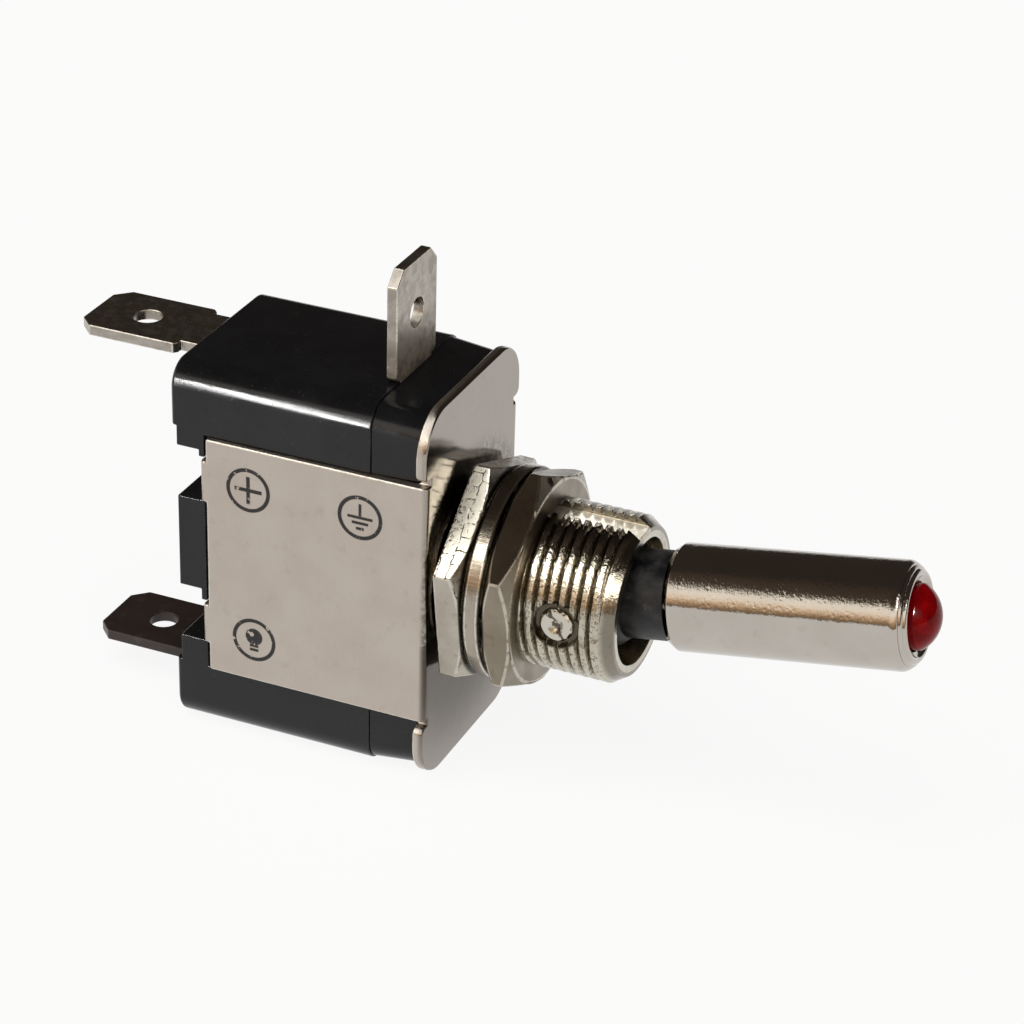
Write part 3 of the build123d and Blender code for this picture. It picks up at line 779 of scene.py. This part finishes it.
# Pits and a soft waviness in the sleeve's plating
def pittedSleeve(recipe, layers):
    along = recipe.node(
        "ShaderNodeVectorMath", {"operation": "DOT_PRODUCT"}, {0: layers["place"], 1: leverAxis}, 1
    )
    pits = recipe.cells(layers["place"], 0.34 * mm)
    where = recipe.rise(recipe.noise(layers["place"], 1.6 * mm, 3.0), 0.40, 0.60)
    ends = 1.0 - recipe.rise(along, 20.5 * mm, 23.0 * mm) * 0.7
    sink = (1.0 - recipe.rise(pits, 0.05, 0.55)) * where * ends
    waves = recipe.noise(layers["place"], 1.1 * mm, 3.0)
    peel = recipe.noise(layers["place"], 0.3 * mm, 2.0)
    upward = {0: layers["place"], 1: Vector((-leverAxis.z, 0, leverAxis.x))}
    above = recipe.node("ShaderNodeVectorMath", {"operation": "DOT_PRODUCT"}, upward, 1)
    rough = recipe.rise(above, 0.9 * mm, 1.7 * mm)
    layers["height"] = layers["height"] * (0.3 + rough * 0.7) + waves * 1.2
    layers["height"] = layers["height"] + rough * (peel * 1.6 - sink * 1.4)


print("stage: materials")
satin = look(
    colour=(0.48, 0.43, 0.38),
    patchColour=(0.455, 0.405, 0.355),
    rough=0.34,
    roughSwing=0.05,
    gritSize=0.14 * mm,
    gritRough=0.2,
    gritDepth=1.0,
    bump=0.5,
    stain=0.12,
)
sleeveLook = look(
    colour=(0.48, 0.445, 0.40),
    patchColour=(0.45, 0.415, 0.37),
    rough=0.035,
    roughSwing=0.02,
    lineRough=0.02,
    gritRough=0.03,
    stain=0.1,
)
darkNickel = look(
    colour=(0.27, 0.235, 0.185),
    patchColour=(0.22, 0.19, 0.145),
    edgeColour=(0.62, 0.57, 0.49),
    edgeLight=0.6,
    rough=0.26,
    roughSwing=0.12,
    stain=0.6,
)
washerLook = look(
    colour=(0.38, 0.34, 0.28),
    patchColour=(0.31, 0.275, 0.22),
    rough=0.15,
    lineRun=(0.04, 1.0, 1.0),
    stain=0.5,
)
threadLook = look(
    colour=(0.52, 0.48, 0.40),
    patchColour=(0.44, 0.40, 0.32),
    stain=0.7,
    stainSize=0.7 * mm,
    rough=0.05,
    roughSwing=0.05,
    bump=0.6,
)
terminalLook = look(colour=(0.40, 0.365, 0.32), patchColour=(0.35, 0.315, 0.27), rough=0.18)
oxideLook = look(
    colour=(0.040, 0.028, 0.025),
    patchColour=(0.030, 0.022, 0.019),
    edgeColour=(0.06, 0.05, 0.045),
    rough=0.30,
    stain=0.2,
)
materials = {
    "bracket": platedMetal("bracketPlate", satin, printedFlange),
    "nickel": platedMetal("brightNickel", nickelLook),
    "innerNut": platedMetal("pressedNickel", look(rough=0.16, edgeLight=0.5), pressedFlatsPaintedLight),
    "outerNut": platedMetal("turnedNickel", darkNickel, seamShade),
    "washer": platedMetal("washerNickel", washerLook, seamShade),
    "thread": platedMetal("threadNickel", threadLook, threadFinish),
    "pin": platedMetal("pinSteel", look(rough=0.10, stain=0.6), knockedEnd),
    "sleeve": platedMetal("sleeveChrome", sleeveLook, pittedSleeve),
    "wire": platedMetal("tinnedWire", look(rough=0.25)),
    "brass": platedMetal("plungerBrass", look(colour=(0.72, 0.55, 0.27), rough=0.2)),
    "contactBrass": platedMetal("contactBrass", look(colour=(0.74, 0.58, 0.30), rough=0.25)),
    "silver": platedMetal("contactSilver", look(colour=(0.80, 0.80, 0.78), rough=0.25)),
    "spring": platedMetal("springSteel", look(colour=(0.5, 0.5, 0.5), rough=0.25)),
    "terminal": platedMetal("terminalPlate", terminalLook, tarnishedBlade),
    "oxide": platedMetal("oxideBrown", oxideLook, oxidised),
}
blackLook = {
    "colour": (0.0045, 0.0050, 0.0060),
    "hazeColour": (0.0070, 0.0075, 0.0085),
    "dustColour": (0.10, 0.10, 0.10),
    "edgeColour": (0.03, 0.032, 0.035),
    "hazeSize": 4.0 * mm,
    "grainSize": 0.12 * mm,
    "dustSize": 0.25 * mm,
    "dust": 0.12,
    "lineWidth": 0.15 * mm,
    "lineRun": (0.05, 1.0, 1.0),
    "rough": 0.13,
    "roughSwing": 0.08,
    "lineRough": 0.04,
    "wearSize": 0.8 * mm,
    "wear": (0.45, 0.65),
    "edgeLight": 0.5,
    "grainDepth": 0.6,
    "lineDepth": 0.3,
    "ior": 1.40,
    "bump": 0.25,
    "bumpDepth": 0.02 * mm,
}
materials["moulding"] = mouldedPlastic("blackMoulding", blackLook)
stemLook = {
    **blackLook,
    "rough": 0.34,
    "roughSwing": 0.2,
    "hazeSize": 1.4 * mm,
    "hazeColour": (0.034, 0.034, 0.035),
    "grainDepth": 1.0,
    "dust": 0.6,
}
materials["stem"] = mouldedPlastic("blackStem", stemLook)


def redLens():
    material, recipe = newMaterial("redLens")
    place = recipe.place()
    swirl = recipe.rise(recipe.noise(place, 1.0 * mm, 3.0), 0.3, 0.7)
    specks = recipe.rise(recipe.noise(place, 0.18 * mm, 3.0, 0.7), 0.58, 0.68)
    colour = recipe.blend(swirl, (0.22, 0.0008, 0.0030), (0.12, 0.0005, 0.0012))
    colour = recipe.blend(specks * 0.5, colour, (0.45, 0.006, 0.004))
    height = recipe.noise(place, 0.5 * mm, 2.0)
    recipe.surface(
        {
            "Base Color": colour,
            "Roughness": 0.055 + swirl * 0.02,
            "IOR": 1.18,
            "Normal": recipe.bump(height, 0.25, 0.05 * mm),
        }
    )
    return material


materials["lens"] = redLens()

print("stage: body")
solids = [
    # node, piece, edge, body, slot, material
    ("bracket", "bracketShell", 0.15, "body", "bracket_plate", "bracket"),
    ("housing", "housingMoulding", 0.09, "body", "black_moulding", "moulding"),
    ("front_insulator", "insulatorMoulding", 0.08, "body", "black_moulding", "moulding"),
    ("inner_nut", "innerHexNut", 0.13, "body", "bright_nickel", "innerNut"),
    ("outer_nut", "outerHexNut", 0.13, "body", "bright_nickel", "outerNut"),
    ("dress_washer", "roundWasher", 0.14, "body", "bright_nickel", "washer"),
    ("pivot_pin", "pinWithDimples", 0.06, "body", "pin_steel", "pin"),
    ("power_terminal", "powerBlade", 0.10, "body", "terminal_plate", "terminal"),
    ("load_terminal", "loadBlade", 0.10, "body", "terminal_plate", "oxide"),
    ("earth_terminal", "earthBlade", 0.10, "body", "terminal_plate", "terminal"),
    ("fixed_contact", "fixedContactRivet", 0.08, "body", "contact_silver", "silver"),
    ("lever_stem", "stemMoulding", 0.08, "lever", "black_stem", "stem"),
    ("lamp_lens", "domedLens", 0.05, "lever", "red_lens", "lens"),
    ("resistor", "resistorBody", 0.06, "lever", "resistor_body", "brass"),
    ("plunger", "brassPlunger", 0.08, "plunger", "plunger_brass", "brass"),
    ("rocker", "rockerStrip", 0.08, "rocker", "contact_brass", "contactBrass"),
    ("moving_contact", "movingContactRivet", 0.08, "rocker", "contact_silver", "silver"),
]
for node, name, edge, body, slot, finish in solids:
    mount(cadCopy(node, name, edge * mm), body, slot, materials[finish], node)
mount(makeBushing(materials["thread"]), "body", "bright_nickel", materials["thread"], "bushing")
mount(makeSleeve(), "lever", "sleeve_chrome", materials["sleeve"], "lever_sleeve")
for node, finish in (
    ("lamp_lead_long", "wire"),
    ("lamp_lead_short", "wire"),
    ("plunger_spring", "spring"),
):
    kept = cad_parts[node]
    for slot in kept.material_slots:
        slot.material = materials[finish]

print("stage: room")


# Floor, pale and seen as pale in the metal too, with the shadow kept
def makeFloor():
    material, recipe = newMaterial("paleFloor")
    place = recipe.place()
    path = recipe.node("ShaderNodeLightPath").socket.node
    seen = Wire(recipe, path.outputs["Is Camera Ray"])
    for ray in ("Is Glossy Ray", "Is Transmission Ray"):
        seen = recipe.most(seen, Wire(recipe, path.outputs[ray]))
    grain = recipe.noise(place, 2.0 * mm, 3.0)
    colour = recipe.blend(grain, (0.86, 0.855, 0.85), (0.83, 0.825, 0.82))
    paper = recipe.node("ShaderNodeBsdfDiffuse", inputs={"Color": colour})
    glow = recipe.node("ShaderNodeEmission", inputs={"Color": (1.0, 1.0, 1.0), "Strength": 1.0})
    mixed = recipe.node("ShaderNodeMixShader", inputs={0: seen * 0.9, 1: paper, 2: glow})
    recipe.node("ShaderNodeOutputMaterial", inputs={"Surface": mixed})
    work = bmesh.new()
    bmesh.ops.create_grid(work, x_segments=8, y_segments=8, size=12.0)
    bmesh.ops.translate(work, vec=(0, 0, cadBounds[0].z), verts=work.verts)
    mesh = bpy.data.meshes.new("floor")
    work.to_mesh(mesh)
    work.free()
    floor = newPiece("floor", mesh)
    floor.data.materials.append(material)


# The room that metal mirrors: a soft window in front with a warm fall-off, dark elsewhere
roomLook = {
    "strength": 1.5,
    "back": (0.030, 0.024, 0.020),
    "stops": (
        # height, colour
        (0.00, (0.16, 0.12, 0.085)),
        (0.08, (0.30, 0.20, 0.12)),
        (0.20, (0.62, 0.43, 0.28)),
        (0.32, (0.92, 0.76, 0.60)),
        (0.44, (1.00, 0.93, 0.83)),
        (0.56, (0.98, 0.94, 0.86)),
        (0.62, (0.45, 0.42, 0.37)),
        (0.66, (0.08, 0.06, 0.045)),
        (0.88, (0.045, 0.033, 0.025)),
    ),
}


def makeWorld():
    world = bpy.data.worlds.new("room")
    bpy.context.scene.world = world
    world.use_nodes = True
    recipe = Recipe(world.node_tree)
    direction = recipe.node("ShaderNodeTexCoord", output="Generated")
    across, depth, height = recipe.axes(direction)
    streaks = recipe.node(
        "ShaderNodeTexNoise", inputs={"Vector": direction, "Scale": 5.0, "Detail": 3.0}
    )
    level = height + (streaks - 0.5) * 0.04
    bands = recipe.node("ShaderNodeValToRGB", {"stops": roomLook["stops"]}, {"Fac": level})
    front = recipe.rise(-depth, 0.05, 0.25)
    colour = recipe.blend(front, roomLook["back"], bands)
    sky = recipe.node(
        "ShaderNodeBackground", inputs={"Color": colour, "Strength": roomLook["strength"]}
    )
    recipe.node("ShaderNodeOutputWorld", inputs={"Surface": sky})


# Lamps: two broad soft ones for the colours, and small ones that draw single highlights
lamps = {
    "broadSoftbox": {
        "towards": (-0.25, -0.35, 0.90),
        "far": 1.0,
        "size": (0.9, 0.9),
        "power": 6.5,
        "mirrored": False,
    },
    "fillSoftbox": {
        "towards": (0.75, -0.20, 0.62),
        "far": 1.2,
        "size": (1.0, 1.0),
        "power": 2.6,
        "mirrored": False,
    },
    "mouldingStrip": {
        "towards": (-0.494, -0.847, 0.20),
        "far": 0.164,
        "size": (0.008, 0.061),
        "turn": 22.6,
        "power": 0.18,
        "shines": ("housingMoulding", "insulatorMoulding"),
    },
    "nutSoftbox": {
        "towards": (-0.35, -0.34, 0.87),
        "far": 0.8,
        "size": (0.70, 0.60),
        "power": 5.4,
        "shines": ("innerHexNut",),
    },
    "mirroredSoftbox": {
        "towards": (0.35, -0.34, 0.87),
        "far": 0.8,
        "size": (0.50, 0.50),
        "power": 3.0,
        "shines": ("innerHexNut",),
    },
    "edgeSoftbox": {
        "towards": (-0.38, -0.46, 0.80),
        "far": 0.8,
        "size": (1.0, 0.8),
        "power": 5.0,
        "shines": ("bracketShell", "earthBlade", "powerBlade"),
    },
    "threadSpark": {
        "towards": (-0.33, -0.64, 0.69),
        "far": 0.8,
        "size": (0.34, 0.26),
        "power": 3.4,
        "shines": ("threadedBushing",),
    },
    "keywayGlow": {
        "towards": (-0.34, 0.81, 0.475),
        "far": 0.8,
        "size": (0.25, 0.25),
        "power": 4.5,
        "shines": ("threadedBushing",),
    },
    "mouthGlow": {
        "towards": (0.667, -0.563, 0.488),
        "far": 0.8,
        "size": (0.34, 0.26),
        "power": 2.6,
        "shines": ("threadedBushing",),
    },
    "washerSpark": {
        "towards": (-0.35, -0.68, 0.64),
        "far": 0.8,
        "size": (0.20, 0.22),
        "power": 1.2,
        "shines": ("roundWasher",),
    },
    "lipGlow": {
        "towards": (0.751, -0.253, 0.606),
        "far": 0.8,
        "size": (0.20, 0.20),
        "power": 0.5,
        "shines": ("sleeveTube",),
    },
    "lensGlint": {
        "towards": (0.60, -0.50, 0.62),
        "far": 0.5,
        "size": (0.15, 0.13),
        "power": 52.0,
        "shines": ("domedLens",),
    },
}


def makeLamps():
    for name, lamp in lamps.items():
        data = bpy.data.lights.new(name, "AREA")
        data.shape = "RECTANGLE"
        data.size, data.size_y = lamp["size"]
        data.energy = lamp["power"]
        towards = Vector(lamp["towards"]).normalized()
        facing = towards.to_track_quat("Z", "Y").to_matrix()
        turned = facing @ Matrix.Rotation(math.radians(lamp.get("turn", 0.0)), 3, "Z")
        light = bpy.data.objects.new(name, data)
        bpy.context.scene.collection.objects.link(light)
        light.location = towards * lamp["far"]
        light.rotation_euler = turned.to_euler()
        light.visible_glossy = lamp.get("mirrored", True)
        if "shines" in lamp:
            light.visible_diffuse = False
            lit = bpy.data.collections.new(name + "Shines")
            for piece in lamp["shines"]:
                lit.objects.link(bpy.data.objects[piece])
            light.light_linking.receiver_collection = lit


cameraView = {
    "azimuth": 22.805,
    "elevation": 28.352,
    "roll": 1.717,
    "distance": 222.792 * mm,
    "target": Vector((-5.820, 0.0, 4.585)) * mm,
    "lens": 113.82,
    "sensor": 36.0,
}


def makeCamera():
    view = cameraView
    azimuth, elevation, roll = (math.radians(view[key]) for key in ("azimuth", "elevation", "roll"))
    right = Vector((math.cos(azimuth), math.sin(azimuth), 0))
    forward = Vector(
        (
            -math.sin(azimuth) * math.cos(elevation),
            math.cos(azimuth) * math.cos(elevation),
            -math.sin(elevation),
        )
    )
    up = right.cross(forward)
    turnedRight = right * math.cos(roll) + up * math.sin(roll)
    turnedUp = up * math.cos(roll) - right * math.sin(roll)
    data = bpy.data.cameras.new("camera")
    data.sensor_width = view["sensor"]
    data.lens = view["lens"]
    data.clip_start = 5 * mm
    camera = bpy.data.objects.new("camera", data)
    bpy.context.scene.collection.objects.link(camera)
    camera.matrix_world = Matrix.Translation(view["target"] - forward * view["distance"]) @ Matrix(
        (turnedRight, turnedUp, -forward)
    ).transposed().to_4x4()
    bpy.context.scene.camera = camera


makeFloor()
makeWorld()
makeLamps()
makeCamera()
bpy.context.scene.view_settings.view_transform = "Standard"
